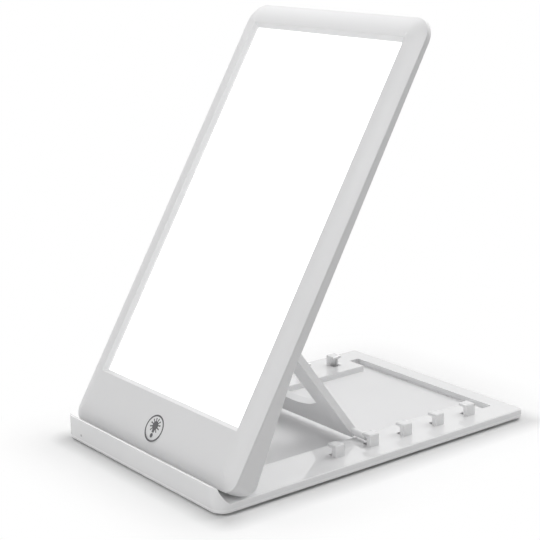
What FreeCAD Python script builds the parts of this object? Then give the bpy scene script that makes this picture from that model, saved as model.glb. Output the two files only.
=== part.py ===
import FreeCAD, Part
import math
import os

# A tablet-shaped light therapy lamp on a folding stand, in millimetres.
# The moulded base lies on the table with its lip to the front (-Y). The light panel is
# hinged just behind the lip, and a prop hinged to its back stands in one of five catches
# on each side of the deck. Folded flat, the panel covers the base.
# Origin: centre of the base's footprint, on the table. X is the width, Z is up.
# The panel and the prop are drawn lying flat and are turned into place at the end.

# ---------------------------------------------------------------- base
base_width = 160.0
base_depth = 236.0
base_front_radius = 8.4
base_back_radius = 3.0
base_thickness = 5.8
base_edge_chamfer = 0.5
foot_stand = 1.2
skin_thickness = 2.0
rib_thickness = 1.6
recess_width = 98.0
recess_depth = 3.8
recess_front = 36.0
recess_margin = 19.0
recess_corner_radius = 1.5
groove_width = 126.4
groove_length = 7.8
bay_count = 5
bay_first = 24.0
bay_margin = 24.0
front_bay_setback = 7.2

# Lip along the front edge, with a hollow that clears the panel's lower end
lip_height = 9.2
cradle_radius = 14.3
lip_edge_radius = 0.5
sole_edge_radius = 1.6

# Rubber feet under the corners
foot_diameter = 9.0
foot_inset_x = 13.0
foot_inset_y = 16.0

# Five pairs of catches along the side shelves
catch_count = 5
catch_first = 92.4
catch_pitch = 26.7
catch_length = 6.8
catch_height = 7.2
catch_outer_spacing = 134.4
catch_wall = 3.3
catch_overhang = 3.9
catch_roof = 1.8
catch_chamfer = 0.4
catch_return = 1.2
catch_return_length = 1.5
ridge_height = 0.6
ridge_length = 1.0
slot_length = 4.4

# ---------------------------------------------------------------- panel hinge
hinge_setback = 15.6
hinge_rise = 11.6
hinge_pin_diameter = 3.0
hinge_pin_length = 17.0
running_clearance = 0.03
knuckle_spacing = 104.0
knuckle_width = 7.0
knuckle_radius = 3.7
knuckle_neck = 6.4
knuckle_gap = 0.4
tilt_at_rest = 59.0
tilt_forward = 8.5

# ---------------------------------------------------------------- light panel
panel_width = 162.0
panel_foot_radius = 8.0
panel_top_radius = 13.0
reach_top = 273.2
reach_bottom = 10.2
face_height = 7.2
crown_drop = 3.9
crown_run = 13.0
seam_height = 2.7
seam_gap = 0.15
tongue_clearance = 0.2
tongue_wall = 1.0
tongue_depth = 0.5
heel_depth = 11.2
heel_radius = 10.4
heel_flat = 6.0
knee_reach = 62.0
knee_depth = 3.9
top_depth = 0.7
back_edge_chamfer = 0.9
shell_wall = 1.6
back_skin = 1.3
bezel_pocket_inset = 8.0
bezel_pocket_end = 5.6
edge_pocket_height = 3.5

# Window in the front bezel
window_side = 14.6
window_bottom = 24.6
window_head = 16.2
window_bevel = 2.2
lens_recess = 3.2

# Light stack behind the window
lens_overlap = 2.2
lens_thickness = 1.0
film_thickness = 0.25
guide_overlap = 1.0
guide_thickness = 1.9
reflector_thickness = 0.2
stack_gap = 0.02
strip_gap = 0.2
strip_thickness = 1.0
led_count = 20
led_length = 5.0
led_height = 1.4
led_depth = 0.8
rail_width = 3.0
rail_gap = 1.0

# Control board, touch pad and power inlet
board_side_gap = 3.5
board_length = 91.0
board_low = 9.2
board_width = 21.8
board_thickness = 1.6
board_height = -6.2
standoff_size = 4.0
standoff_inset = 9.5
lead_width = 2.0
lead_thickness = 0.3
lead_inset = 2.8
chip_place = 36.0
chip_size = 7.0
chip_height = 1.2
coil_place = 51.5
coil_size = 8.0
coil_height = 3.2
capacitor_place = 60.5
capacitor_pitch = 6.0
capacitor_shift = 3.0
capacitor_size = 4.4
capacitor_height = 3.8
socket_place = 17.5
socket_touch_gap = 5.5
socket_length = 8.0
socket_width = 4.0
socket_height = 2.0
socket_edge = 1.0
touch_offset = 1.5
touch_reach = 4.6
touch_pad_diameter = 14.0
touch_pad_thickness = 0.4
touch_spring_diameter = 2.0
touch_spring_reach = 10.4
inlet_width = 9.0
inlet_height = 3.2
inlet_length = 7.4
inlet_shell_wall = 0.35
inlet_reach = 24.0
inlet_setback = 0.3
inlet_clearance = 0.25
inlet_tongue_width = 6.7
inlet_tongue_thickness = 0.7
inlet_tongue_setback = 0.8

# Screws that hold the rear cover to the bezel
screw_inset = 5.4
screw_low_inset = 16.2
screw_high_inset = 12.2
screw_shank_diameter = 2.2
screw_shank_length = 4.3
screw_head_diameter = 4.2
screw_head_height = 0.9
screw_seat = 0.15
screw_boss_diameter = 5.4
screw_clearance = 0.2
screw_drive_width = 1.5
screw_drive_depth = 0.5

# ---------------------------------------------------------------- prop
prop_reach = 98.0
prop_drop = 4.4
prop_length = 105.0
prop_thickness = 4.6
prop_foot_width = 96.8
prop_taper = 0.265
prop_toe = 3.5
prop_leg_width = 16.0
prop_shoulder = 7.0
prop_barrel_width = 42.0
prop_barrel_radius = 3.0
prop_corner_radius = 2.0
cut_top = 18.0
cut_bottom = 15.2
cut_arc_radius = 50.9
cut_corner_radius = 4.0
foot_pin_diameter = 3.0
foot_shoulder_diameter = 4.4
foot_shoulder_gap = 0.6
foot_engagement = 2.2
foot_height = 3.1
rod_diameter = 2.5
lug_width = 6.0
lug_radius = 3.6
lug_gap = 0.6
prop_clearance = 0.8
prop_gap = 0.4
prop_fold_lean = 2.0
mount_pad_low = 88.0
mount_pad_high = 134.0
mount_pad_width = 92.0

# ---------------------------------------------------------------- placing
deck_z = foot_stand + base_thickness
front_y = -base_depth / 2
window_width = panel_width - 2 * window_side
window_top = reach_top - window_head
guide_width = window_width + 2 * guide_overlap
board_left = board_side_gap - panel_width / 2
well_back = -front_y - recess_margin
hinge_y = front_y + hinge_setback
hinge_z = deck_z + hinge_rise
catch_outer_x = catch_outer_spacing / 2
catch_inner_x = catch_outer_x - catch_wall
catch_tip_x = catch_inner_x - catch_overhang
tilt = math.radians(tilt_at_rest)
prop_pivot_y = hinge_y + prop_reach * math.cos(tilt) + prop_drop * math.sin(tilt)
prop_pivot_z = hinge_z + prop_reach * math.sin(tilt) - prop_drop * math.cos(tilt)
prop_fall = prop_pivot_z - deck_z - foot_height
prop_lean = math.degrees(math.asin(prop_fall / prop_length))
stack_height = lens_thickness + film_thickness + guide_thickness + reflector_thickness + 5 * stack_gap
cushion_top = face_height - lens_recess - stack_height

X_AXIS = FreeCAD.Vector(1, 0, 0)
Z_AXIS = FreeCAD.Vector(0, 0, 1)


# ---------------------------------------------------------------- drawing aids
def box(x0, x1, y0, y1, z0, z1):
    """A block between two opposite corners."""
    return Part.makeBox(x1 - x0, y1 - y0, z1 - z0, FreeCAD.Vector(x0, y0, z0))


def rod(radius, length, x, y, z, axis=X_AXIS):
    """A round bar that starts at a point and runs along an axis."""
    return Part.makeCylinder(radius, length, FreeCAD.Vector(x, y, z), axis)


def edges_where(shape, test):
    """The edges whose middle point passes a test."""
    found = []
    for edge in shape.Edges:
        middle = edge.valueAt((edge.FirstParameter + edge.LastParameter) / 2)
        if test(edge, middle):
            found.append(edge)
    return found


def runs_along(edge, axis):
    """Whether an edge runs along an axis."""
    return abs(edge.tangentAt(edge.FirstParameter).dot(axis)) > 0.9


def level(value, height):
    """Whether a point of a drawn edge lies at a height."""
    return abs(value - height) < 0.01


def slab(x0, x1, y0, y1, z0, z1, low_radius, high_radius):
    """A block with rounded upright edges: one radius at its low end in Y and one at its high end."""
    body = box(x0, x1, y0, y1, z0, z1)
    low = edges_where(body, lambda edge, middle: runs_along(edge, Z_AXIS) and level(middle.y, y0))
    body = body.makeFillet(low_radius, low)
    high = edges_where(body, lambda edge, middle: runs_along(edge, Z_AXIS) and level(middle.y, y1))
    return body.makeFillet(high_radius, high)


def section(points, x0, x1):
    """A side view (y, z) drawn as straight runs and carried across the width."""
    corners = [FreeCAD.Vector(x0, y, z) for y, z in points]
    outline = Part.makePolygon(corners + corners[:1])
    return Part.Face(outline).extrude(FreeCAD.Vector(x1 - x0, 0, 0))


def plan(points, z0, z1):
    """A plan view (x, y) drawn as straight runs and carried upwards."""
    corners = [FreeCAD.Vector(x, y, z0) for x, y in points]
    outline = Part.makePolygon(corners + corners[:1])
    return Part.Face(outline).extrude(FreeCAD.Vector(0, 0, z1 - z0))


def both_sides(shape):
    """A piece and its mirror image across the middle of the width."""
    return [shape, shape.mirror(FreeCAD.Vector(0, 0, 0), X_AXIS)]


def tilted(shape):
    """Turn a panel piece from lying flat about the hinge axis to its resting tilt."""
    placed = shape.copy()
    placed.rotate(FreeCAD.Vector(0, 0, 0), X_AXIS, tilt_at_rest)
    placed.translate(FreeCAD.Vector(0, hinge_y, hinge_z))
    return placed


def propped(shape):
    """Turn a prop piece from lying flat, foot to the back, to its resting lean."""
    placed = shape.copy()
    placed.rotate(FreeCAD.Vector(0, 0, 0), X_AXIS, -prop_lean)
    placed.translate(FreeCAD.Vector(0, prop_pivot_y, prop_pivot_z))
    return placed


def save(name, shape):
    shape.exportStep("parts/" + name + ".step")


# ---------------------------------------------------------------- base
def catch_fronts():
    """The front face of each catch, from the hinge end backwards."""
    return [front_y + catch_first + number * catch_pitch for number in range(catch_count)]


def catch(front):
    """One overhanging catch: an outer wall, a roof reaching inwards and a low stop at the back."""
    back = front + catch_length
    top = deck_z + catch_height
    wall = box(catch_inner_x, catch_outer_x, front, back, foot_stand, top)
    roof = box(catch_tip_x, catch_outer_x, front, back, top - catch_roof, top)
    gusset = box(catch_inner_x - catch_return, catch_inner_x, back - catch_return_length, back, deck_z, top)
    ridge = box(catch_tip_x, catch_inner_x, back - ridge_length, back,
                deck_z - skin_thickness, deck_z + ridge_height)
    hook = wall.fuse([roof, gusset, ridge]).removeSplitter()
    crest = edges_where(hook, lambda edge, middle: level(middle.z, top))
    return hook.makeChamfer(catch_chamfer, crest)


def catch_slot(front):
    """The mould opening through the deck below a catch's roof."""
    start = front + (catch_length - ridge_length - slot_length) / 2
    side = catch_inner_x - running_clearance
    return box(catch_tip_x, side, start, start + slot_length, 0, deck_z + ridge_height)


def knuckle():
    """The right-hand post that carries the panel's hinge pin."""
    low = knuckle_spacing / 2 - knuckle_width / 2
    high = low + knuckle_width
    half_neck = knuckle_neck / 2
    neck = box(low, high, hinge_y - half_neck, hinge_y + half_neck, deck_z - skin_thickness, hinge_z)
    head = rod(knuckle_radius, knuckle_width, low, hinge_y, hinge_z)
    bore = rod(hinge_pin_diameter / 2 + running_clearance, base_width, 0, hinge_y, hinge_z)
    return neck.fuse(head).removeSplitter().cut(bore)


def footprint(z0, z1):
    """The base's plan, with large corners at the front and small ones at the back."""
    half = base_width / 2
    return slab(-half, half, front_y, -front_y, z0, z1, base_front_radius, base_back_radius)


def lip():
    """The raised front edge, hollowed around the hinge axis."""
    top = deck_z + lip_height
    block = box(-base_width / 2, base_width / 2, front_y, hinge_y, foot_stand, top)
    cradle = rod(cradle_radius, 2 * base_width, -base_width, hinge_y, hinge_z)
    above_deck = box(-base_width, base_width, front_y, hinge_y, deck_z, hinge_z + lip_height)
    bar = block.cut(cradle.common(above_deck))
    half = base_width / 2
    crest = edges_where(bar, lambda edge, middle: level(middle.z, top) and edge.Length > half)
    return bar.makeFillet(lip_edge_radius, crest).common(footprint(foot_stand, top))


def underside_bays():
    """Hollows under the side shelves, the front strip and the back strip."""
    bays = []
    roof = deck_z - skin_thickness
    inner = recess_width / 2 + skin_thickness
    outer = base_width / 2 - skin_thickness
    step = (base_depth - bay_first - bay_margin) / bay_count
    for number in range(bay_count):
        start = front_y + bay_first + number * step
        bays += both_sides(box(inner, outer, start, start + step - rib_thickness, 0, roof))
    front_half = (knuckle_spacing - knuckle_width) / 2 - skin_thickness
    front_end = front_y + recess_front - skin_thickness
    bays.append(box(-front_half, front_half, front_y + front_bay_setback, front_end, 0, roof))
    back_start = well_back + groove_length + skin_thickness
    bays.append(box(-groove_width / 2, groove_width / 2, back_start, -front_y - skin_thickness, 0, roof))
    return bays


def foot_places():
    """The middle of each rubber foot."""
    x = base_width / 2 - foot_inset_x
    y = base_depth / 2 - foot_inset_y
    return [(-x, -y), (x, -y), (-x, y), (x, y)]


def base_plate():
    plate = footprint(foot_stand, deck_z)
    rim = edges_where(plate, lambda edge, middle: level(middle.z, deck_z))
    plate = plate.makeChamfer(base_edge_chamfer, rim)
    plate = plate.fuse(lip()).removeSplitter()
    sole = edges_where(plate, lambda edge, middle: level(middle.z, foot_stand))
    plate = plate.makeFillet(sole_edge_radius, sole)

    floor_z = deck_z - recess_depth
    well_front = front_y + recess_front
    side = recess_width / 2
    groove_back = well_back + groove_length
    clear = deck_z + catch_height
    corner = recess_corner_radius
    well = slab(-side, side, well_front, groove_back, floor_z, clear, corner, corner)
    groove = box(-groove_width / 2, groove_width / 2, well_back, groove_back, floor_z, clear)
    plate = plate.cut([well, groove] + underside_bays())

    added = both_sides(knuckle())
    slots = []
    for front in catch_fronts():
        added += both_sides(catch(front))
        slots += both_sides(catch_slot(front))
    return plate.fuse(added).removeSplitter().cut(slots).removeSplitter()


def base_feet():
    feet = [rod(foot_diameter / 2, foot_stand, x, y, 0, Z_AXIS) for x, y in foot_places()]
    return Part.makeCompound(feet)


def panel_hinge_pins():
    start = (knuckle_spacing - hinge_pin_length) / 2
    pin = rod(hinge_pin_diameter / 2, hinge_pin_length, start, hinge_y, hinge_z)
    return Part.makeCompound(both_sides(pin))


# ---------------------------------------------------------------- panel shell
def crown_height(inset):
    """The height of the panel's face at a distance in from its edge."""
    radius = (crown_run ** 2 + crown_drop ** 2) / (2 * crown_drop)
    return face_height - radius + math.sqrt(radius ** 2 - (crown_run - inset) ** 2)


def crowned(start, end, low_side, high_side):
    """A bar along X whose top curves down towards both of its sides."""
    low = -2 * heel_depth
    edge = crown_height(0)
    middle = crown_height(crown_run / 2)
    top = crown_height(crown_run)
    near = low_side + crown_run
    far = high_side - crown_run

    def spot(y, z):
        return FreeCAD.Vector(start, y, z)

    lines = [
        Part.LineSegment(spot(low_side, low), spot(low_side, edge)),
        Part.Arc(spot(low_side, edge), spot(near - crown_run / 2, middle), spot(near, top)),
        Part.LineSegment(spot(near, top), spot(far, top)),
        Part.Arc(spot(far, top), spot(far + crown_run / 2, middle), spot(high_side, edge)),
        Part.LineSegment(spot(high_side, edge), spot(high_side, low)),
        Part.LineSegment(spot(high_side, low), spot(low_side, low)),
    ]
    outline = Part.Wire([line.toShape() for line in lines])
    return Part.Face(outline).extrude(FreeCAD.Vector(end - start, 0, 0))


def corner_waste(x, y, radius):
    """What a corner loses so that the outline and its crown turn around an upright axis."""
    low = -2 * heel_depth

    def spot(away, z):
        return FreeCAD.Vector(x + away, y, z)

    arc = Part.Arc(spot(radius, crown_height(0)), spot(radius / 2, crown_height(radius / 2)),
                   spot(0, crown_height(radius)))
    lines = [
        Part.LineSegment(spot(0, low), spot(radius, low)),
        Part.LineSegment(spot(radius, low), spot(radius, crown_height(0))),
        arc,
        Part.LineSegment(spot(0, crown_height(radius)), spot(0, low)),
    ]
    profile = Part.Face(Part.Wire([line.toShape() for line in lines]))
    post = profile.revolve(FreeCAD.Vector(x, y, 0), Z_AXIS, 360)
    reach = 2 * radius
    sideways = sorted((x, x + math.copysign(reach, x)))
    ahead = (y - reach, y) if y < reach_top / 2 else (y, y + reach)
    return box(sideways[0], sideways[1], ahead[0], ahead[1], low, 2 * face_height).cut(post)


def panel_outline(inset, z0, z1):
    """The panel's rounded rectangle, drawn in from its edge."""
    half = panel_width / 2 - inset
    return slab(-half, half, inset - reach_bottom, reach_top - inset, z0, z1,
                panel_foot_radius - inset, panel_top_radius - inset)


def wedge(inset, skin, top):
    """The side view of the rear: thick at the hinge end, thin at the top."""
    low = inset - reach_bottom
    points = [
        (low, top),
        (low, skin - heel_depth),
        (heel_flat, skin - heel_depth),
        (knee_reach, skin - knee_depth),
        (reach_top - inset, skin - top_depth),
        (reach_top - inset, top),
    ]
    body = section(points, inset - panel_width / 2, panel_width / 2 - inset)
    heel = edges_where(body, lambda edge, middle: runs_along(edge, X_AXIS) and level(middle.y, low)
                       and level(middle.z, skin - heel_depth))
    return body.makeFillet(heel_radius - inset, heel)


def panel_body():
    """The whole closed outside of the panel."""
    half = panel_width / 2
    along = crowned(-half, half, -reach_bottom, reach_top)
    across = crowned(-reach_top, reach_top, -half, half)
    across.rotate(FreeCAD.Vector(0, 0, 0), Z_AXIS, 90)
    body = along.common(across).common(wedge(0, 0, face_height))
    waste = []
    for radius, y in ((panel_foot_radius, panel_foot_radius - reach_bottom),
                      (panel_top_radius, reach_top - panel_top_radius)):
        waste += [corner_waste(x, y, radius) for x in (radius - half, half - radius)]
    return body.cut(waste)


def screw_places():
    """The middle of each cover screw, in X and along the panel."""
    x = panel_width / 2 - screw_inset
    rows = [screw_low_inset - reach_bottom, reach_top - screw_high_inset]
    return [(side, y) for y in rows for side in (-x, x)]


def hinge_notch():
    """The space that the right-hand knuckle and its neck sweep through in the panel."""
    low = knuckle_spacing / 2 - knuckle_width / 2 - knuckle_gap
    width = knuckle_width + 2 * knuckle_gap
    half = knuckle_neck / 2 + knuckle_gap
    reach = 2 * reach_bottom
    head = rod(knuckle_radius + knuckle_gap, width, low, 0, 0)
    neck = box(low, low + width, -half, half, -reach, 0)
    forward_turn = tilt_at_rest + tilt_forward
    leaning = neck.copy()
    leaning.rotate(FreeCAD.Vector(0, 0, 0), X_AXIS, -forward_turn)
    turn = math.radians(forward_turn)
    fan = section([(0, 0), (0, -reach), (-reach * math.tan(turn / 2), -reach),
                   (-reach * math.sin(turn), -reach * math.cos(turn))], low, low + width)
    return head.fuse([neck, leaning, fan])


def slope(half, low, high):
    """The bevel around the window, wider at the face than at the lens."""
    top = face_height
    bottom = top - window_bevel
    inner = [(-half, low), (half, low), (half, high), (-half, high)]
    outer = [(-half - window_bevel, low - window_bevel), (half + window_bevel, low - window_bevel),
             (half + window_bevel, high + window_bevel), (-half - window_bevel, high + window_bevel)]
    lower = Part.makePolygon([FreeCAD.Vector(x, y, bottom) for x, y in inner + inner[:1]])
    upper = Part.makePolygon([FreeCAD.Vector(x, y, top) for x, y in outer + outer[:1]])
    return Part.makeLoft([lower, upper], True, True)


def panel_slice(z0, z1):
    """The part of the panel's outside between two heights."""
    return BODY.common(box(-panel_width, panel_width, -panel_width, 2 * reach_top, z0, z1))


def front_bezel():
    lens_front = face_height - lens_recess
    wall = shell_wall + tongue_clearance + tongue_wall
    edge_pocket = panel_outline(wall, -face_height, edge_pocket_height)
    half = panel_width / 2 - bezel_pocket_inset
    pocket_low = bezel_pocket_end - reach_bottom
    lens_pocket = box(-half, half, pocket_low, reach_top - bezel_pocket_inset, 0, lens_front)
    shell = panel_slice(seam_height, 2 * face_height).cut([edge_pocket, lens_pocket])

    half = window_width / 2
    window = box(-half, half, window_bottom, window_top, 0, 2 * face_height)
    shell = shell.cut([window, slope(half, window_bottom, window_top)])

    outside = panel_outline(shell_wall + tongue_clearance, seam_height - tongue_depth, edge_pocket_height)
    tongue = outside.cut(panel_outline(wall, -face_height, face_height))
    columns = []
    holes = []
    for x, y in screw_places():
        boss = rod(screw_boss_diameter / 2, lens_front - seam_height, x, y, seam_height, Z_AXIS)
        columns.append(boss.common(panel_outline(shell_wall + tongue_clearance, 0, face_height)))
        holes.append(rod(screw_shank_diameter / 2, screw_shank_length, x, y, screw_seat, Z_AXIS))
    shell = shell.fuse([tongue] + columns).removeSplitter()
    return shell.cut(holes + both_sides(hinge_notch())).removeSplitter()


def is_back_edge(edge, middle):
    """The sharp edges around the outside of the rear cover's flat back."""
    on_side = abs(middle.x) > panel_width / 2 - panel_top_radius
    on_top = middle.y > reach_top - panel_top_radius
    below = middle.z < 0 and (level(middle.z, -top_depth) or middle.z < -top_depth)
    flat_run = middle.y > heel_flat and edge.Length > panel_top_radius
    return below and flat_run and (on_side or on_top)


def inner_columns():
    """Everything that stands on the rear cover's inner floor."""
    half = guide_width / 2
    low = -2 * heel_depth
    seam = seam_height - seam_gap
    rail_start = board_low + board_width + rail_gap
    rail = box(half, half + rail_width, rail_start, window_top + lens_overlap, low, cushion_top)
    columns = both_sides(rail)
    side = mount_pad_width / 2
    columns.append(box(-side, side, mount_pad_low, mount_pad_high, low, cushion_top))
    start = (knuckle_spacing - hinge_pin_length) / 2
    reach = reach_bottom - shell_wall - tongue_clearance - tongue_wall - seam_gap
    block = box(start, start + hinge_pin_length, -reach, reach, low, seam - seam_gap)
    columns += both_sides(block)
    for x, y in screw_places():
        column = rod(screw_boss_diameter / 2, seam - low, x, y, low, Z_AXIS)
        columns.append(column.common(panel_outline(tongue_wall + tongue_clearance + shell_wall, low, seam)))
    return columns + standoffs()


def prop_lug():
    """The right-hand ear on the cover's back that holds one end of the prop's rod."""
    start = prop_barrel_width / 2 + lug_gap
    ear = rod(lug_radius, lug_width, start, prop_reach, -prop_drop)
    root = box(start, start + lug_width, prop_reach - lug_radius, prop_reach + lug_radius, -prop_drop, 0)
    return ear.fuse(root)


def prop_pocket():
    """The shallow hollow in the cover's back that takes the folded prop."""
    blank = prop_blank(prop_clearance, prop_gap)
    blank.rotate(FreeCAD.Vector(0, 0, 0), X_AXIS, -prop_fold_lean)
    blank.translate(FreeCAD.Vector(0, prop_reach, -prop_drop))
    return blank


def inlet_slot():
    """The opening in the left side wall for the power plug."""
    low = board_height + board_thickness - inlet_clearance
    half = inlet_width / 2 + inlet_clearance
    high = low + inlet_height + 2 * inlet_clearance
    slot = box(-panel_width, board_left, inlet_reach - half, inlet_reach + half, low, high)
    ends = edges_where(slot, lambda edge, middle: runs_along(edge, X_AXIS))
    return slot.makeFillet(inlet_height / 2, ends)


def rear_cover():
    seam = seam_height - seam_gap
    low = -2 * heel_depth
    body = panel_slice(low, seam)
    body = body.makeChamfer(back_edge_chamfer, edges_where(body, is_back_edge))
    outline = panel_outline(shell_wall, low, face_height)
    hollow = wedge(shell_wall, back_skin, 2 * face_height).common(outline)
    inside = body.common(hollow)
    cover = body.cut(hollow).fuse([column.common(inside) for column in inner_columns()])
    pin_start = (knuckle_spacing - hinge_pin_length) / 2
    cover = cover.fuse(both_sides(rod(knuckle_radius, hinge_pin_length, pin_start, 0, 0)))
    cover = cover.cut([prop_pocket(), inlet_slot()] + both_sides(hinge_notch()))
    cover = cover.fuse(both_sides(prop_lug())).removeSplitter()

    pin_end = pin_start + hinge_pin_length
    bores = [
        rod(hinge_pin_diameter / 2, 2 * pin_end, -pin_end, 0, 0),
        rod(rod_diameter / 2, rod_length(), -rod_length() / 2, prop_reach, -prop_drop),
    ]
    for x, y in screw_places():
        bores.append(rod(screw_shank_diameter / 2 + screw_clearance, seam - low, x, y, low, Z_AXIS))
        bores.append(rod(screw_head_diameter / 2 + screw_clearance, screw_seat - low, x, y, low, Z_AXIS))
    return cover.cut(bores).removeSplitter()


def cover_screws():
    screws = []
    half = screw_drive_width / 2
    head_low = screw_seat - screw_head_height
    for x, y in screw_places():
        shank = rod(screw_shank_diameter / 2, screw_shank_length, x, y, screw_seat, Z_AXIS)
        head = rod(screw_head_diameter / 2, screw_head_height, x, y, head_low, Z_AXIS)
        drive = box(x - half, x + half, y - half, y + half, head_low, head_low + screw_drive_depth)
        screws.append(shank.fuse(head).cut(drive))
    return Part.makeCompound(screws)


# ---------------------------------------------------------------- light stack
def stack_sheet(half_width, top, thickness):
    """One flat layer of the light stack."""
    low = window_bottom - lens_overlap
    high = window_top + lens_overlap
    return box(-half_width, half_width, low, high, top - thickness, top)


def lens_top():
    return face_height - lens_recess - stack_gap


def film_top():
    return lens_top() - lens_thickness - stack_gap


def guide_top():
    return film_top() - film_thickness - stack_gap


def reflector_top():
    return guide_top() - guide_thickness - stack_gap


def diffuser_lens():
    return stack_sheet(guide_width / 2 + strip_gap + strip_thickness, lens_top(), lens_thickness)


def diffusion_film():
    return stack_sheet(guide_width / 2 + strip_gap + strip_thickness, film_top(), film_thickness)


def light_guide():
    return stack_sheet(guide_width / 2, guide_top(), guide_thickness)


def reflector_sheet():
    return stack_sheet(guide_width / 2, reflector_top(), reflector_thickness)


def led_strip_right():
    start = guide_width / 2 + strip_gap + led_depth
    low = window_bottom - lens_overlap
    high = window_top + lens_overlap
    bottom = reflector_top() - reflector_thickness
    return box(start, start + strip_thickness, low, high, bottom, guide_top())


def led_strip_left():
    return both_sides(led_strip_right())[1]


def leds():
    start = guide_width / 2 + strip_gap
    middle = guide_top() - guide_thickness / 2
    pitch = (window_top - window_bottom) / led_count
    chips = []
    for number in range(led_count):
        y = window_bottom + pitch / 2 + number * pitch
        chip = box(start, start + led_depth, y - led_length / 2, y + led_length / 2,
                   middle - led_height / 2, middle + led_height / 2)
        chips += both_sides(chip)
    return Part.makeCompound(chips)


# ---------------------------------------------------------------- electronics
def standoffs():
    """Four square posts that carry the control board."""
    posts = []
    for x in (board_left + standoff_inset, board_left + board_length - standoff_size):
        for y in (board_low, board_low + board_width - standoff_size):
            posts.append(box(x, x + standoff_size, y, y + standoff_size, -2 * heel_depth, board_height))
    return posts


def control_board():
    return box(board_left, board_left + board_length, board_low, board_low + board_width,
               board_height, board_height + board_thickness)


def square_part(place, size, height, shift=0):
    """A square component on the board, as far from its left end as asked."""
    top = board_height + board_thickness
    x = board_left + place
    y = board_low + (board_width - size) / 2 + shift
    return box(x, x + size, y, y + size, top, top + height)


def socket_corner(number):
    """The left front corner of a cable socket: one near the inlet, one beside the touch key."""
    x = touch_offset - socket_touch_gap - socket_length if number else board_left + socket_place
    return x, board_low + socket_edge


def board_parts():
    """Driver chip, coil, two capacitors and two cable sockets."""
    top = board_height + board_thickness
    parts = [
        square_part(chip_place, chip_size, chip_height),
        square_part(coil_place, coil_size, coil_height),
    ]
    for number in range(2):
        place = capacitor_place + number * capacitor_pitch
        parts.append(square_part(place, capacitor_size, capacitor_height, capacitor_shift))
        x, y = socket_corner(number)
        parts.append(box(x, x + socket_length, y, y + socket_width, top, top + socket_height))
    return Part.makeCompound(parts)


def led_leads():
    """Flat cables that rise from the sockets and run under the lower ends of the strips."""
    top = reflector_top() - reflector_thickness
    low = top - lead_thickness
    edge = guide_width / 2 + strip_gap + led_depth + strip_thickness
    strip_end = window_bottom - lens_overlap + lead_width
    leads = []
    for number, side in ((0, -1), (1, 1)):
        x = socket_corner(number)[0] + (socket_length - lead_width) / 2
        start = board_low + lead_inset
        riser = box(x, x + lead_width, start, start + lead_thickness,
                    board_height + board_thickness + socket_height, low)
        ends = sorted((x + lead_width * (side < 0), side * edge))
        run = box(ends[0], ends[1], start, start + lead_width, low, top)
        tail_ends = sorted((side * edge, side * (edge - strip_thickness)))
        tail = box(tail_ends[0], tail_ends[1], start, strip_end, low, top)
        leads.append(riser.fuse([run, tail]).removeSplitter())
    return Part.makeCompound(leads)


def inlet_body(inset, start, length):
    """A flat tube section with round ends, as deep into the panel as asked."""
    low = board_height + board_thickness + inset
    high = board_height + board_thickness + inlet_height - inset
    half = inlet_width / 2 - inset
    body = box(start, start + length, inlet_reach - half, inlet_reach + half, low, high)
    ends = edges_where(body, lambda edge, middle: runs_along(edge, X_AXIS))
    return body.makeFillet((high - low) / 2 - running_clearance, ends)


def inlet_shell():
    start = inlet_setback - panel_width / 2
    shell = inlet_body(0, start, inlet_length)
    return shell.cut(inlet_body(inlet_shell_wall, start, inlet_length - inlet_shell_wall))


def inlet_tongue():
    start = inlet_setback - panel_width / 2 + inlet_tongue_setback
    middle = board_height + board_thickness + inlet_height / 2
    end = inlet_setback - panel_width / 2 + inlet_length - inlet_shell_wall
    half = inlet_tongue_width / 2
    return box(start, end, inlet_reach - half, inlet_reach + half,
               middle - inlet_tongue_thickness / 2, middle + inlet_tongue_thickness / 2)


def touch_pad():
    low = lens_top() - touch_pad_thickness
    return rod(touch_pad_diameter / 2, touch_pad_thickness, touch_offset, touch_reach, low, Z_AXIS)


def touch_spring():
    low = board_height + board_thickness
    high = lens_top() - touch_pad_thickness
    return rod(touch_spring_diameter / 2, high - low, touch_offset, touch_spring_reach, low, Z_AXIS)


# ---------------------------------------------------------------- prop
def prop_half_width(reach):
    """Half the prop's width at a distance from its hinge axis."""
    return prop_foot_width / 2 - prop_taper * (prop_length + prop_toe - reach)


def prop_blank(grow, lift):
    """The prop's outline without its opening, lying flat with its hinge at the origin."""
    end = prop_length + prop_toe + grow
    start = prop_shoulder - grow
    wide = prop_half_width(prop_length + prop_toe) + grow
    narrow = prop_half_width(prop_shoulder) + grow
    half = prop_thickness / 2
    plate = plan([(-wide, end), (-narrow, start), (narrow, start), (wide, end)], -half, half + lift)
    neck_half = prop_barrel_width / 2 + min(grow, lug_gap / 2)
    neck = box(-neck_half, neck_half, 0, prop_shoulder, -half, half + lift)
    barrel = rod(prop_barrel_radius + lift, 2 * neck_half, -neck_half, 0, 0)
    return plate.fuse([neck, barrel])


def prop_opening():
    """The opening between the legs: straight sides, small top corners, a bowed lower edge."""
    bow_middle = prop_length + prop_toe - cut_bottom - cut_arc_radius
    wide = prop_half_width(prop_length) - prop_leg_width
    narrow = prop_half_width(cut_top) - prop_leg_width
    deep = prop_thickness
    outline = [(-wide, prop_length), (-narrow, cut_top), (narrow, cut_top), (wide, prop_length)]
    sides = plan(outline, -deep, deep)
    upright = edges_where(sides, lambda edge, middle: runs_along(edge, Z_AXIS) and level(middle.y, cut_top))
    sides = sides.makeFillet(cut_corner_radius, upright)
    bow = rod(cut_arc_radius, 2 * deep, 0, bow_middle, -deep, Z_AXIS)
    above = box(-prop_foot_width, prop_foot_width, 0, bow_middle, -deep, deep)
    return sides.common(bow.fuse(above))


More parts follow.
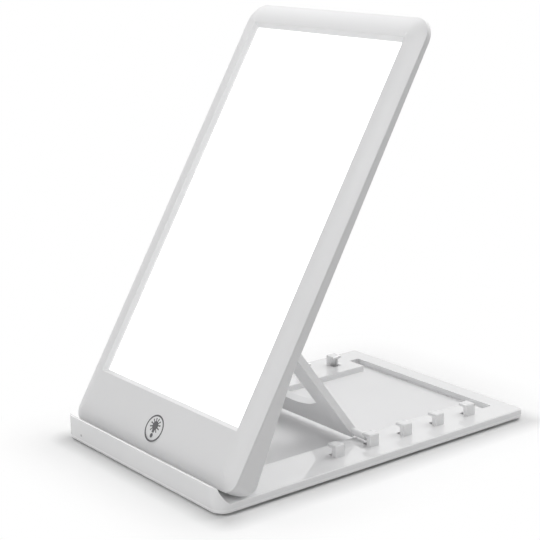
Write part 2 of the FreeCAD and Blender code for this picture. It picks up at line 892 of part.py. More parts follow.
def prop_stand():
    body = prop_blank(0, 0).removeSplitter()
    toe = prop_length + prop_toe
    toes = edges_where(body, lambda edge, middle: level(middle.y, toe) and runs_along(edge, Z_AXIS))
    body = body.makeFillet(prop_corner_radius, toes)
    body = body.cut(prop_opening())
    shoulder_end = catch_tip_x - foot_shoulder_gap
    pin_end = catch_tip_x + foot_engagement
    start = prop_foot_width / 2 - prop_corner_radius - foot_shoulder_diameter / 2
    shoulder = rod(foot_shoulder_diameter / 2, shoulder_end - start, start, prop_length, 0)
    pin = rod(foot_pin_diameter / 2, pin_end - start, start, prop_length, 0)
    body = body.fuse(both_sides(shoulder.fuse(pin))).removeSplitter()
    return body.cut(rod(rod_diameter / 2 + running_clearance, prop_foot_width, -prop_foot_width / 2, 0, 0))


def rod_length():
    return prop_barrel_width + 2 * lug_gap + 2 * lug_width


def prop_rod():
    return rod(rod_diameter / 2, rod_length(), -rod_length() / 2, prop_reach, -prop_drop)


# ---------------------------------------------------------------- building
BODY = panel_body()

IN_PLACE = {
    "base_plate": base_plate,
    "base_feet": base_feet,
    "panel_hinge_pins": panel_hinge_pins,
}
ON_PANEL = {
    "front_bezel": front_bezel,
    "rear_cover": rear_cover,
    "cover_screws": cover_screws,
    "diffuser_lens": diffuser_lens,
    "diffusion_film": diffusion_film,
    "light_guide": light_guide,
    "reflector_sheet": reflector_sheet,
    "led_strip_left": led_strip_left,
    "led_strip_right": led_strip_right,
    "leds": leds,
    "control_board": control_board,
    "board_parts": board_parts,
    "led_leads": led_leads,
    "inlet_shell": inlet_shell,
    "inlet_tongue": inlet_tongue,
    "touch_pad": touch_pad,
    "touch_spring": touch_spring,
    "prop_rod": prop_rod,
}

os.makedirs("parts", exist_ok=True)
for name, make in IN_PLACE.items():
    save(name, make())
for name, make in ON_PANEL.items():
    save(name, tilted(make()))
save("prop_stand", propped(prop_stand()))
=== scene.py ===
import math

import bpy
from mathutils import Matrix, Vector


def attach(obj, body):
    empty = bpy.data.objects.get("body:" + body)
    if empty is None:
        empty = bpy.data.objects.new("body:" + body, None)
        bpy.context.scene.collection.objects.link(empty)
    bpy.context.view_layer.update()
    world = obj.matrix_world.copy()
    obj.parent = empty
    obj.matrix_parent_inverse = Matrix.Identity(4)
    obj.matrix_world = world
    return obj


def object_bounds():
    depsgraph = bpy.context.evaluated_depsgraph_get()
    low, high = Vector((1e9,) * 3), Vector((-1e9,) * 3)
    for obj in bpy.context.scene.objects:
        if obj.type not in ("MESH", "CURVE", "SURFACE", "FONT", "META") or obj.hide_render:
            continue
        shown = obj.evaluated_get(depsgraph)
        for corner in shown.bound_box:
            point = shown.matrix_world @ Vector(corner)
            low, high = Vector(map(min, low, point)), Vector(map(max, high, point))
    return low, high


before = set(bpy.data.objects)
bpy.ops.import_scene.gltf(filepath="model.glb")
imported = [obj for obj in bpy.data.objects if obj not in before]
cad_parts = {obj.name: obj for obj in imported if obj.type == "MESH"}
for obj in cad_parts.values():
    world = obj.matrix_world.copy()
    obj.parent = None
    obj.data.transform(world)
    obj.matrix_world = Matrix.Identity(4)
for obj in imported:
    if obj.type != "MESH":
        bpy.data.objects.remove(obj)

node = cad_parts
cad_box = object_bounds()

# ---------------------------------------------------------------- table, light and camera
# A plain white table top and soft studio light from large panels all round. The background is
# plain white to the eye, and close to the lamp the table keeps its soft shadow.
table_size = 3.0
table_white = 0.80
# Painted light: how much the table glows to the eye where it lies in the object's shadow, to make
# that shadow look softer.
painted_floor_light = 0.22
shadow_reach = 0.060
contact_reach = 0.015
shadow_drift = (0.004, 0.002, 0.0)
sky_level = 0.185
plain_white = (1.0, 1.0, 1.0, 1.0)

scene = bpy.context.scene
scene.view_settings.view_transform = "Standard"

# Seen, mirrored or looked through, the sky is plain white. As a light it is dim and even.
world = bpy.data.worlds.new("studio_sky")
scene.world = world
world.use_nodes = True
sky = world.node_tree.nodes
sky_links = world.node_tree.links
sky.clear()
sky_seen = sky.new("ShaderNodeLightPath")
sky_any = sky.new("ShaderNodeMath")
sky_any.operation = "ADD"
sky_clear = sky.new("ShaderNodeMath")
sky_clear.operation = "ADD"
sky_clear.use_clamp = True
sky_mix = sky.new("ShaderNodeMixShader")
sky_soft = sky.new("ShaderNodeBackground")
sky_soft.inputs["Color"].default_value = plain_white
sky_soft.inputs["Strength"].default_value = sky_level
sky_plain = sky.new("ShaderNodeBackground")
sky_plain.inputs["Color"].default_value = plain_white
sky_plain.inputs["Strength"].default_value = 1.0
sky_out = sky.new("ShaderNodeOutputWorld")
sky_links.new(sky_seen.outputs["Is Camera Ray"], sky_any.inputs[0])
sky_links.new(sky_seen.outputs["Is Glossy Ray"], sky_any.inputs[1])
sky_links.new(sky_any.outputs[0], sky_clear.inputs[0])
sky_links.new(sky_seen.outputs["Is Transmission Ray"], sky_clear.inputs[1])
sky_links.new(sky_clear.outputs[0], sky_mix.inputs[0])
sky_links.new(sky_soft.outputs[0], sky_mix.inputs[1])
sky_links.new(sky_plain.outputs[0], sky_mix.inputs[2])
sky_links.new(sky_mix.outputs[0], sky_out.inputs[0])

light_aim = Vector((0.0, 0.0, 0.08))


def softbox(name, place, side, watts):
    """A flat square lamp turned towards the middle of the object."""
    lamp = bpy.data.lights.new(name, "AREA")
    lamp.shape = "RECTANGLE"
    lamp.size = side
    lamp.size_y = side
    lamp.energy = watts
    body = bpy.data.objects.new(name, lamp)
    body.location = place
    body.rotation_euler = (light_aim - Vector(place)).to_track_quat("-Z", "Y").to_euler()
    scene.collection.objects.link(body)
    return body


softbox("back_light", place=(0.0, 1.1, 1.1), side=1.0, watts=7.3)
softbox("front_light", place=(0.0, -1.3, 0.75), side=1.0, watts=3.9)
softbox("left_light", place=(-1.1, 0.0, 1.1), side=1.0, watts=4.1)
corner_light = softbox("corner_light", place=(1.06, -1.06, 0.4), side=1.0, watts=3.6)
far_light = softbox("far_light", place=(1.06, 1.06, 0.4), side=1.0, watts=2.1)
softbox("near_front_light", place=(0.1, -0.5, 0.75), side=0.4, watts=1.35)
softbox("near_back_light", place=(0.0, 0.35, 0.7), side=0.5, watts=1.65)

# The two low lamps light the sides, and don't mirror as bright patches in the polished deck.
for lamp in (corner_light, far_light):
    lamp.visible_glossy = False

# With the distance from the base the table turns plain white, both seen and mirrored. Close to
# the base it keeps its shadow.
# Beyond contact_reach, painted light seen by the eye makes that shadow softer. shadow_drift moves
# the band without it 4 mm to the right and 2 mm back, so the shadow stays darker on the right and
# back and lighter on the left and front.
half = table_size / 2
table_mesh = bpy.data.meshes.new("table_top")
table_mesh.from_pydata(
    [(-half, -half, 0.0), (half, -half, 0.0), (half, half, 0.0), (-half, half, 0.0)],
    [], [(0, 1, 2, 3)])
table_top = bpy.data.objects.new("table_top", table_mesh)
scene.collection.objects.link(table_top)
table_paint = bpy.data.materials.new("table_white")
table_paint.use_nodes = True
paint = table_paint.node_tree
paint.nodes.clear()
paint_body = paint.nodes.new("ShaderNodeBsdfDiffuse")
paint_body.inputs["Color"].default_value = (table_white, table_white, table_white, 1.0)
# Painted light: an emission seen only by the eye that lightens the table's shadow beyond
# contact_reach.
painted_light_glow = paint.nodes.new("ShaderNodeEmission")
painted_light_glow.inputs["Color"].default_value = plain_white
paint_seen = paint.nodes.new("ShaderNodeLightPath")
paint_level = paint.nodes.new("ShaderNodeMath")
paint_level.operation = "MULTIPLY"
paint_level.inputs[1].default_value = painted_floor_light
paint_sum = paint.nodes.new("ShaderNodeAddShader")
paint_plain = paint.nodes.new("ShaderNodeEmission")
paint_plain.inputs["Color"].default_value = plain_white
paint_plain.inputs["Strength"].default_value = 1.0
paint_place = paint.nodes.new("ShaderNodeTexCoord")
paint_drift = paint.nodes.new("ShaderNodeVectorMath")
paint_drift.operation = "SUBTRACT"
paint_drift.inputs[1].default_value = shadow_drift
paint_sides = paint.nodes.new("ShaderNodeVectorMath")
paint_sides.operation = "ABSOLUTE"
paint_past = paint.nodes.new("ShaderNodeVectorMath")
paint_past.operation = "SUBTRACT"
paint_past.inputs[1].default_value = (cad_box[1][0], cad_box[1][1], 0.0)
paint_beyond = paint.nodes.new("ShaderNodeVectorMath")
paint_beyond.operation = "MAXIMUM"
paint_beyond.inputs[1].default_value = (0.0, 0.0, 0.0)
paint_far = paint.nodes.new("ShaderNodeVectorMath")
paint_far.operation = "LENGTH"
paint_fade = paint.nodes.new("ShaderNodeMapRange")
paint_fade.interpolation_type = "SMOOTHSTEP"
paint_fade.inputs["From Min"].default_value = 0.0
paint_fade.inputs["From Max"].default_value = shadow_reach
paint_contact = paint.nodes.new("ShaderNodeMapRange")
paint_contact.inputs["From Min"].default_value = 0.0
paint_contact.inputs["From Max"].default_value = contact_reach
paint_open = paint.nodes.new("ShaderNodeMath")
paint_open.operation = "MULTIPLY"
paint_any = paint.nodes.new("ShaderNodeMath")
paint_any.operation = "MAXIMUM"
paint_white = paint.nodes.new("ShaderNodeMath")
paint_white.operation = "MULTIPLY"
paint_mix = paint.nodes.new("ShaderNodeMixShader")
paint_out = paint.nodes.new("ShaderNodeOutputMaterial")
paint.links.new(paint_seen.outputs["Is Camera Ray"], paint_level.inputs[0])
paint.links.new(paint_level.outputs[0], paint_open.inputs[0])
paint.links.new(paint_far.outputs["Value"], paint_contact.inputs["Value"])
paint.links.new(paint_contact.outputs["Result"], paint_open.inputs[1])
paint.links.new(paint_open.outputs[0], painted_light_glow.inputs["Strength"])
paint.links.new(paint_body.outputs[0], paint_sum.inputs[0])
paint.links.new(painted_light_glow.outputs[0], paint_sum.inputs[1])
paint.links.new(paint_place.outputs["Object"], paint_drift.inputs[0])
paint.links.new(paint_drift.outputs["Vector"], paint_sides.inputs[0])
paint.links.new(paint_sides.outputs["Vector"], paint_past.inputs[0])
paint.links.new(paint_past.outputs["Vector"], paint_beyond.inputs[0])
paint.links.new(paint_beyond.outputs["Vector"], paint_far.inputs[0])
paint.links.new(paint_far.outputs["Value"], paint_fade.inputs["Value"])
paint.links.new(paint_seen.outputs["Is Camera Ray"], paint_any.inputs[0])
paint.links.new(paint_seen.outputs["Is Glossy Ray"], paint_any.inputs[1])
paint.links.new(paint_any.outputs[0], paint_white.inputs[0])
paint.links.new(paint_fade.outputs["Result"], paint_white.inputs[1])
paint.links.new(paint_white.outputs[0], paint_mix.inputs[0])
paint.links.new(paint_sum.outputs[0], paint_mix.inputs[1])
paint.links.new(paint_plain.outputs[0], paint_mix.inputs[2])
paint.links.new(paint_mix.outputs[0], paint_out.inputs["Surface"])
table_mesh.materials.append(table_paint)

# The camera stands to the right of the front and a little above the object.
eye = Vector((0.67238, -0.54152, 0.32623))
view_turn = math.radians(52.094)
view_drop = math.radians(14.147)
view_roll = math.radians(-0.882)
film_width = 36.0
lens_length = 98.27
lens_shift = (-0.0024, -0.0205)
back = Vector((math.sin(view_turn) * math.cos(view_drop),
               -math.cos(view_turn) * math.cos(view_drop),
               math.sin(view_drop)))
level = (-back).cross(Vector((0.0, 0.0, 1.0))).normalized()
rise = level.cross(-back)
across = math.cos(view_roll) * level + math.sin(view_roll) * rise
upward = -math.sin(view_roll) * level + math.cos(view_roll) * rise
camera_data = bpy.data.cameras.new("camera")
camera_data.sensor_width = film_width
camera_data.lens = lens_length
camera_data.shift_x, camera_data.shift_y = lens_shift
camera = bpy.data.objects.new("camera", camera_data)
camera.matrix_world = Matrix(((across.x, upward.x, back.x, eye.x),
                              (across.y, upward.y, back.y, eye.y),
                              (across.z, upward.z, back.z, eye.z),
                              (0.0, 0.0, 0.0, 1.0)))
scene.collection.objects.link(camera)
scene.camera = camera

# ---------------------------------------------------------------- base plate
# One injection-moulded plate of white ABS, with the lip, the two hinge posts and the ten catches
# in one piece. The mould is polished except under the recess floor, and a small dimple on the
# lip is where the plastic entered. It stands on the table on four feet.
base_white = (0.835, 0.835, 0.84, 1.0)
# Painted highlight: the colour laid along the base's sharp edges, where its small chamfers catch
# the light.
base_edge_highlight = (0.97, 0.97, 0.97, 1.0)
plastic_ior = 1.5
plastic_ripple = 0.0002
polished_ior = 1.6
coat_rough = 0.02
recess_floor = 0.0032
recess_rough = 0.4
polish_start = 0.0003
polish_full = 0.0010
gate_mark = (-0.0615, -0.1180, 0.0063)
gate_radius = 0.0011
gate_core = 0.3
gate_shade = (0.30, 0.30, 0.30, 1.0)
gate_cover = 0.75
gate_bump = 0.6
gate_depth = 0.0002

tone_size, tone_detail, tone_band = 14.0, 3.0, (0.3, 0.7)
smudge_size, smudge_detail, smudge_band = 55.0, 4.0, (0.35, 0.65)
ripple_detail = 2.0
edge_samples, edge_band = 6, (0.98, 0.80)
edge_break_size, edge_break_detail = 180.0, 3.0


def group_sockets(group, inputs, outputs):
    """Give a node group its inputs, each with its kind and value, and its outputs."""
    for name, kind, value in inputs:
        made = group.interface.new_socket(name=name, in_out="INPUT", socket_type=kind)
        made.default_value = value
    for name, kind in outputs:
        group.interface.new_socket(name=name, in_out="OUTPUT", socket_type=kind)


def make_mould_grain():
    """Slow tone drift, uneven gloss and fine flow ripple of a moulded plastic."""
    group = bpy.data.node_groups.new("mould_grain", "ShaderNodeTree")
    group_sockets(group, [
        ("Color", "NodeSocketColor", (0.8, 0.8, 0.8, 1.0)),
        ("Drift", "NodeSocketFloat", 0.03),
        ("Rough Low", "NodeSocketFloat", 0.2),
        ("Rough High", "NodeSocketFloat", 0.3),
        ("Grain Size", "NodeSocketFloat", 900.0),
    ], [
        ("Color", "NodeSocketColor"),
        ("Roughness", "NodeSocketFloat"),
        ("Height", "NodeSocketFloat"),
    ])
    nodes, links = group.nodes, group.links
    given = nodes.new("NodeGroupInput")
    out = nodes.new("NodeGroupOutput")
    place = nodes.new("ShaderNodeTexCoord")
    slow = nodes.new("ShaderNodeTexNoise")
    slow.inputs["Scale"].default_value = tone_size
    slow.inputs["Detail"].default_value = tone_detail
    links.new(place.outputs["Object"], slow.inputs["Vector"])
    shade = nodes.new("ShaderNodeMapRange")
    shade.inputs["From Min"].default_value = tone_band[0]
    shade.inputs["From Max"].default_value = tone_band[1]
    shade.inputs["To Max"].default_value = 1.0
    links.new(slow.outputs["Fac"], shade.inputs["Value"])
    low = nodes.new("ShaderNodeMath")
    low.operation = "SUBTRACT"
    low.inputs[0].default_value = 1.0
    links.new(given.outputs["Drift"], low.inputs[1])
    links.new(low.outputs[0], shade.inputs["To Min"])
    tone = nodes.new("ShaderNodeVectorMath")
    tone.operation = "SCALE"
    links.new(given.outputs["Color"], tone.inputs[0])
    links.new(shade.outputs["Result"], tone.inputs["Scale"])
    links.new(tone.outputs["Vector"], out.inputs["Color"])
    smudge = nodes.new("ShaderNodeTexNoise")
    smudge.inputs["Scale"].default_value = smudge_size
    smudge.inputs["Detail"].default_value = smudge_detail
    links.new(place.outputs["Object"], smudge.inputs["Vector"])
    rough = nodes.new("ShaderNodeMapRange")
    rough.inputs["From Min"].default_value = smudge_band[0]
    rough.inputs["From Max"].default_value = smudge_band[1]
    links.new(smudge.outputs["Fac"], rough.inputs["Value"])
    links.new(given.outputs["Rough Low"], rough.inputs["To Min"])
    links.new(given.outputs["Rough High"], rough.inputs["To Max"])
    links.new(rough.outputs["Result"], out.inputs["Roughness"])
    fine = nodes.new("ShaderNodeTexNoise")
    fine.inputs["Detail"].default_value = ripple_detail
    links.new(place.outputs["Object"], fine.inputs["Vector"])
    links.new(given.outputs["Grain Size"], fine.inputs["Scale"])
    links.new(fine.outputs["Fac"], out.inputs["Height"])
    return group


def make_edge_wear_and_highlight():
    """A mask that is bright on sharp outer edges and broken up by noise. It paints worn edges,
    and on the white plastics it paints highlight.
    """
    group = bpy.data.node_groups.new("edge_wear_and_highlight", "ShaderNodeTree")
    group_sockets(group, [
        ("Amount", "NodeSocketFloat", 0.3),
        ("Width", "NodeSocketFloat", 0.0003),
    ], [("Mask", "NodeSocketFloat")])
    nodes, links = group.nodes, group.links
    given = nodes.new("NodeGroupInput")
    out = nodes.new("NodeGroupOutput")
    shape = nodes.new("ShaderNodeNewGeometry")
    round_over = nodes.new("ShaderNodeBevel")
    round_over.samples = edge_samples
    links.new(given.outputs["Width"], round_over.inputs["Radius"])
    turn = nodes.new("ShaderNodeVectorMath")
    turn.operation = "DOT_PRODUCT"
    links.new(shape.outputs["Normal"], turn.inputs[0])
    links.new(round_over.outputs["Normal"], turn.inputs[1])
    edge = nodes.new("ShaderNodeMapRange")
    edge.inputs["From Min"].default_value = edge_band[0]
    edge.inputs["From Max"].default_value = edge_band[1]
    links.new(turn.outputs["Value"], edge.inputs["Value"])
    place = nodes.new("ShaderNodeTexCoord")
    broken = nodes.new("ShaderNodeTexNoise")
    broken.inputs["Scale"].default_value = edge_break_size
    broken.inputs["Detail"].default_value = edge_break_detail
    links.new(place.outputs["Object"], broken.inputs["Vector"])
    both = nodes.new("ShaderNodeMath")
    both.operation = "MULTIPLY"
    links.new(edge.outputs["Result"], both.inputs[0])
    links.new(broken.outputs["Fac"], both.inputs[1])
    scaled = nodes.new("ShaderNodeMath")
    scaled.operation = "MULTIPLY"
    links.new(both.outputs[0], scaled.inputs[0])
    links.new(given.outputs["Amount"], scaled.inputs[1])
    links.new(scaled.outputs[0], out.inputs["Mask"])
    return group


mould_grain = make_mould_grain()
edge_wear_and_highlight = make_edge_wear_and_highlight()


def shader_of(finish):
    """The Principled shader of a finish."""
    return finish.node_tree.nodes["Principled BSDF"]


def grained_finish(name, color, drift, rough, grain, bump, ripple_depth):
    """A finish that takes its tone, gloss and fine ripple from mould_grain."""
    finish = bpy.data.materials.new(name)
    finish.use_nodes = True
    nodes, links = finish.node_tree.nodes, finish.node_tree.links
    body = shader_of(finish)
    grainy = nodes.new("ShaderNodeGroup")
    grainy.node_tree = mould_grain
    grainy.inputs["Color"].default_value = color
    grainy.inputs["Drift"].default_value = drift
    grainy.inputs["Rough Low"].default_value = rough[0]
    grainy.inputs["Rough High"].default_value = rough[1]
    grainy.inputs["Grain Size"].default_value = grain
    links.new(grainy.outputs["Color"], body.inputs["Base Color"])
    links.new(grainy.outputs["Roughness"], body.inputs["Roughness"])
    lift = nodes.new("ShaderNodeBump")
    lift.inputs["Strength"].default_value = bump
    lift.inputs["Distance"].default_value = ripple_depth
    links.new(grainy.outputs["Height"], lift.inputs["Height"])
    links.new(lift.outputs["Normal"], body.inputs["Normal"])
    return finish


def paint_over(finish, mask, color):
    """Lay a colour over a finish's own colour, as far as a mask says."""
    nodes, links = finish.node_tree.nodes, finish.node_tree.links
    own = shader_of(finish).inputs["Base Color"]
    mix = nodes.new("ShaderNodeMix")
    mix.data_type = "RGBA"
    mix.inputs["B"].default_value = color
    links.new(mask, mix.inputs["Factor"])
    links.new(own.links[0].from_socket, mix.inputs["A"])
    links.new(mix.outputs["Result"], own)


def moulded_plastic(name, color, drift=0.03, rough=(0.2, 0.3), grain=900.0, bump=0.03,
                    wear_and_highlight=0.25, wear_and_highlight_color=(0.92, 0.92, 0.92, 1.0)):
    """A moulded finish with the tone and ripple of mould_grain, and paler edges: worn ones, and
    on the white plastics a painted highlight.
    """
    finish = grained_finish(name, color, drift, rough, grain, bump, plastic_ripple)
    body = shader_of(finish)
    body.inputs["IOR"].default_value = plastic_ior
    body.inputs["Coat Roughness"].default_value = coat_rough
    edge_paint = finish.node_tree.nodes.new("ShaderNodeGroup")
    edge_paint.node_tree = edge_wear_and_highlight
    edge_paint.inputs["Amount"].default_value = wear_and_highlight
    paint_over(finish, edge_paint.outputs["Mask"], wear_and_highlight_color)
    return finish


def dress(name, finish):
    """Give a piece of the CAD model its finish."""
    mesh = node[name].data
    mesh.materials.clear()
    mesh.materials.append(finish)


def polish_above(finish, low, high, rough_below):
    """Leave a surface matt up to one height and polished above another."""
    nodes, links = finish.node_tree.nodes, finish.node_tree.links
    body = shader_of(finish)
    body.inputs["IOR"].default_value = polished_ior
    place = nodes.new("ShaderNodeTexCoord")
    parts = nodes.new("ShaderNodeSeparateXYZ")
    links.new(place.outputs["Object"], parts.inputs[0])
    polish = nodes.new("ShaderNodeMapRange")
    polish.inputs["From Min"].default_value = low
    polish.inputs["From Max"].default_value = high
    links.new(parts.outputs["Z"], polish.inputs["Value"])
    links.new(polish.outputs["Result"], body.inputs["Coat Weight"])
    matt = nodes.new("ShaderNodeMapRange")
    matt.inputs["To Min"].default_value = rough_below
    matt.inputs["To Max"].default_value = 0.0
    links.new(polish.outputs["Result"], matt.inputs["Value"])
    rougher = nodes.new("ShaderNodeMath")
    rougher.operation = "MAXIMUM"
    links.new(body.inputs["Roughness"].links[0].from_socket, rougher.inputs[0])
    links.new(matt.outputs["Result"], rougher.inputs[1])
    links.new(rougher.outputs[0], body.inputs["Roughness"])


def press_mark(finish, middle, radius, shade):
    """A small shaded dimple, where the plastic entered the mould."""
    nodes, links = finish.node_tree.nodes, finish.node_tree.links
    body = shader_of(finish)
    place = nodes.new("ShaderNodeTexCoord")
    away = nodes.new("ShaderNodeVectorMath")
    away.operation = "DISTANCE"
    away.inputs[1].default_value = middle
    links.new(place.outputs["Object"], away.inputs[0])
    dent = nodes.new("ShaderNodeMapRange")
    dent.interpolation_type = "SMOOTHSTEP"
    dent.inputs["From Min"].default_value = gate_core * radius
    dent.inputs["From Max"].default_value = radius
    dent.inputs["To Min"].default_value = gate_cover
    dent.inputs["To Max"].default_value = 0.0
    links.new(away.outputs["Value"], dent.inputs["Value"])
    paint_over(finish, dent.outputs["Result"], shade)
    press = nodes.new("ShaderNodeBump")
    press.invert = True
    press.inputs["Strength"].default_value = gate_bump
    press.inputs["Distance"].default_value = gate_depth
    links.new(dent.outputs["Result"], press.inputs["Height"])
    links.new(body.inputs["Normal"].links[0].from_socket, press.inputs["Normal"])
    links.new(press.outputs["Normal"], body.inputs["Normal"])


# The base's paler sharp edges are a painted highlight, not wear.
base_finish = moulded_plastic("base_white", base_white, rough=(0.03, 0.06), bump=0.008,
                              wear_and_highlight=0.45, wear_and_highlight_color=base_edge_highlight)
polish_above(base_finish, recess_floor + polish_start, recess_floor + polish_full, recess_rough)
press_mark(base_finish, gate_mark, gate_radius, gate_shade)
dress("base_plate", base_finish)

# ---------------------------------------------------------------- base feet
# Four discs of soft, dark grey rubber. They are pressed and glued into round seats under the
# plate's corners, and keep it from sliding.
foot_grey = (0.06, 0.06, 0.065, 1.0)
foot_worn = (0.16, 0.16, 0.16, 1.0)
dress("base_feet", moulded_plastic("foot_rubber", foot_grey, drift=0.2, rough=(0.7, 0.85),
                                   grain=2500.0, bump=0.35, wear_and_highlight=0.3, wear_and_highlight_color=foot_worn))

# ---------------------------------------------------------------- hinge pins, prop rod and screws
# Turned bright steel: two pins in the knuckles, one rod through the prop's barrel, the small
# screws that close the panel, and the contact spring of the touch key.
steel_grey = (0.56, 0.57, 0.58, 1.0)
metal_drift = 0.12
metal_grain = 4000.0
metal_bump = 0.08
metal_ripple = 0.0001


def bright_metal(name, color, rough=(0.22, 0.34)):
    """Bright metal with fine working marks and slightly darker handled patches."""
    finish = grained_finish(name, color, metal_drift, rough, metal_grain, metal_bump,
                            metal_ripple)
    shader_of(finish).inputs["Metallic"].default_value = 1.0
    return finish


steel_finish = bright_metal("pin_steel_finish", steel_grey)
for name in ("panel_hinge_pins", "prop_rod", "cover_screws", "touch_spring"):
    dress(name, steel_finish)

# ---------------------------------------------------------------- panel shell
# A rear cover and a crowned front bezel, two mouldings in white ABS with a softer gloss than
# the base. Small screws hold them together around the light stack.
# Painted shade: the rear cover's white is set darker than the bezel's, for its side walls that
# face away from the light.
cover_shaded_white = (0.74, 0.74, 0.745, 1.0)
bezel_white = (0.79, 0.79, 0.795, 1.0)
# Their faintly paler edges are a painted highlight.
dress("rear_cover", moulded_plastic("cover_shaded_white", cover_shaded_white, drift=0.012,
                                    rough=(0.29, 0.32), bump=0.04, wear_and_highlight=0.06))
dress("front_bezel", moulded_plastic("bezel_white", bezel_white, drift=0.015,
                                     rough=(0.32, 0.36), bump=0.012, wear_and_highlight=0.06))

# ---------------------------------------------------------------- light stack
# White reflector, clear acrylic guide lit from both long edges, a diffusing film and an
# opal acrylic lens. The lens glows evenly, as it does when the lamp is on.
sheet_white = (0.86, 0.86, 0.86, 1.0)
strip_white = (0.75, 0.75, 0.72, 1.0)
phosphor_yellow = (0.85, 0.72, 0.2, 1.0)
guide_clear = (0.86, 0.89, 0.88, 1.0)
lens_white = (0.90, 0.90, 0.90, 1.0)
lens_glow = 0.80

film_finish = moulded_plastic("film_finish", sheet_white, rough=(0.5, 0.6), wear_and_highlight=0.0)
dress("diffusion_film", film_finish)
dress("reflector_sheet", film_finish)
strip_finish = moulded_plastic("strip_finish", strip_white, rough=(0.4, 0.5), wear_and_highlight=0.1)
dress("led_strip_left", strip_finish)
dress("led_strip_right", strip_finish)
dress("leds", moulded_plastic("led_phosphor_finish", phosphor_yellow, rough=(0.3, 0.4),
                              wear_and_highlight=0.0))
dress("light_guide", moulded_plastic("guide_acrylic", guide_clear, rough=(0.05, 0.1), wear_and_highlight=0.0))

lens_finish = moulded_plastic("lens_opal", lens_white, drift=0.01, rough=(0.35, 0.45), wear_and_highlight=0.0)
lens_body = shader_of(lens_finish)
lens_body.inputs["Emission Color"].default_value = plain_white
lens_body.inputs["Emission Strength"].default_value = lens_glow
dress("diffuser_lens", lens_finish)

# ---------------------------------------------------------------- board and inlet
# Green glass-fibre board with its driver parts and the flat cables to the light bars. The
# low-voltage power inlet soldered to its edge is a folded steel shell around a black tongue,
# and a copper pad behind the bezel feels the finger.
board_green = (0.015, 0.12, 0.045, 1.0)
board_worn = (0.3, 0.35, 0.15, 1.0)
chip_black = (0.015, 0.015, 0.016, 1.0)
chip_worn = (0.12, 0.12, 0.12, 1.0)
cable_white = (0.72, 0.72, 0.70, 1.0)
inlet_grey = (0.62, 0.62, 0.63, 1.0)
tongue_black = (0.012, 0.012, 0.013, 1.0)
tongue_worn = (0.1, 0.1, 0.1, 1.0)
pad_copper = (0.72, 0.40, 0.24, 1.0)

dress("control_board", moulded_plastic("board_green_finish", board_green, drift=0.15,
                                       rough=(0.3, 0.45), grain=3000.0, bump=0.1, wear_and_highlight=0.2,
                                       wear_and_highlight_color=board_worn))
dress("board_parts", moulded_plastic("chip_black_finish", chip_black, drift=0.2,
                                     rough=(0.4, 0.55), grain=3000.0, bump=0.1, wear_and_highlight=0.2,
                                     wear_and_highlight_color=chip_worn))
dress("led_leads", moulded_plastic("lead_white_finish", cable_white, drift=0.08,
                                   rough=(0.4, 0.5), grain=3000.0, bump=0.08, wear_and_highlight=0.0))
dress("inlet_shell", bright_metal("inlet_steel", inlet_grey, rough=(0.18, 0.28)))
dress("inlet_tongue", moulded_plastic("tongue_black", tongue_black, rough=(0.35, 0.45),
                                      wear_and_highlight=0.1, wear_and_highlight_color=tongue_worn))
dress("touch_pad", bright_metal("pad_copper", pad_copper, rough=(0.25, 0.4)))

# ---------------------------------------------------------------- prop
# One white ABS moulding: a pierced plate with a hinge barrel at the top, which turns on the
# steel rod, and round foot pins that stand in the base's catches.
# Painted light: the prop's white is set paler than the panel's, to lighten its face, which lies
# in the panel's shade. Its faintly paler edges are a painted highlight.
prop_lit_white = (0.89, 0.89, 0.895, 1.0)
dress("prop_stand", moulded_plastic("prop_lit_white", prop_lit_white, drift=0.015, rough=(0.3, 0.33),
                                    bump=0.02, wear_and_highlight=0.05))

# ---------------------------------------------------------------- touch key print
# The key is printed on the bezel in dark grey ink: a ring around a shining bulb, with a dot
# below it. The panel's face leans back by its resting tilt.
ink_grey = (0.12, 0.12, 0.125, 1.0)
ink_lift = 0.00003
face_height = 0.0072
hinge_place = Vector((0.0, -0.1024, 0.0186))
tilt_at_rest = math.radians(59.0)
key_middle = (0.0015, 0.0046)
ring_outer = 0.0081
ring_width = 0.00100
ring_steps = 96
bulb_middle = (0.0, 0.0017)
bulb_radius = 0.0026
bulb_first = -60
bulb_sweep = 300
bulb_steps = 32
stem_half = 0.0009
stem_low = -0.0026
ray_count = 10
ray_first = -50
ray_pitch = 31
ray_start = 0.0024
ray_end = 0.0046
ray_half = 0.00030
ray_flare = 1.5
dot_height = -0.0043
dot_half = (0.00120, 0.00135)
dot_steps = 24

ink_finish = moulded_plastic("key_ink", ink_grey, drift=0.08, rough=(0.45, 0.6), grain=5000.0,
                             bump=0.05, wear_and_highlight=0.0)


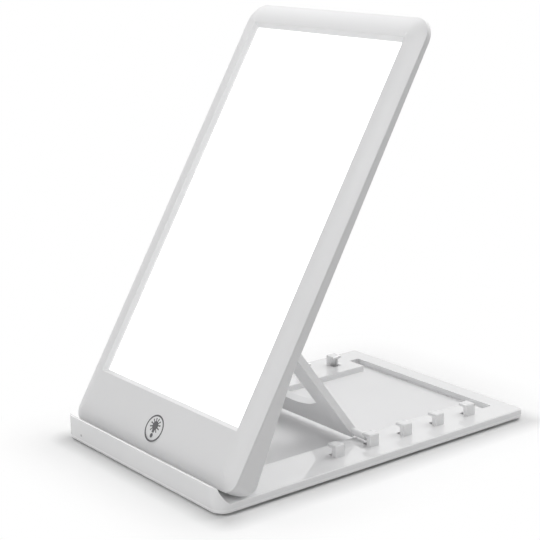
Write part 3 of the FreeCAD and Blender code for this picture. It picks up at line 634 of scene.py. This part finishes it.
def on_face(x, y, height):
    """A point on the panel's front face, from its place across and up the panel."""
    along = y * math.cos(tilt_at_rest) - (face_height + height) * math.sin(tilt_at_rest)
    up = y * math.sin(tilt_at_rest) + (face_height + height) * math.cos(tilt_at_rest)
    return hinge_place + Vector((x, along, up))


def ink_shape(name, outlines):
    """Flat ink in one thin film, from closed outlines given about the key's middle."""
    corners, faces = [], []
    for outline in outlines:
        start = len(corners)
        corners += [on_face(key_middle[0] + x, key_middle[1] + y, ink_lift) for x, y in outline]
        faces.append(tuple(range(start, start + len(outline))))
    mesh = bpy.data.meshes.new(name)
    mesh.from_pydata(corners, [], faces)
    mesh.materials.append(ink_finish)
    piece = bpy.data.objects.new(name, mesh)
    scene.collection.objects.link(piece)
    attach(piece, "panel")


def around(radius, angle):
    """The point at a distance from the middle, in a direction."""
    return radius * math.cos(angle), radius * math.sin(angle)


ring_inner = ring_outer - ring_width
ring_quads = []
for step in range(ring_steps):
    a = 2 * math.pi * step / ring_steps
    b = 2 * math.pi * (step + 1) / ring_steps
    ring_quads.append([around(ring_inner, a), around(ring_outer, a),
                       around(ring_outer, b), around(ring_inner, b)])
ink_shape("key_ring", ring_quads)

bulb = []
for step in range(bulb_steps + 1):
    x, y = around(bulb_radius, math.radians(bulb_first + bulb_sweep * step / bulb_steps))
    bulb.append((bulb_middle[0] + x, bulb_middle[1] + y))
bulb += [(-stem_half, stem_low), (stem_half, stem_low)]
ink_shape("key_bulb", [bulb])

# Each ray starts narrow and flares outwards.
ray_corners = ((ray_start, -1.0), (ray_end, -ray_flare), (ray_end, ray_flare), (ray_start, 1.0))
rays = []
for number in range(ray_count):
    a = math.radians(ray_first + ray_pitch * number)
    along_x, along_y = around(1.0, a)
    side_x, side_y = -along_y * ray_half, along_x * ray_half
    rays.append([(bulb_middle[0] + reach * along_x + flank * side_x,
                  bulb_middle[1] + reach * along_y + flank * side_y)
                 for reach, flank in ray_corners])
ink_shape("key_rays", rays)

dot = []
for step in range(dot_steps):
    x, y = around(1.0, 2 * math.pi * step / dot_steps)
    dot.append((dot_half[0] * x, dot_height + dot_half[1] * y))
ink_shape("key_dot", [dot])
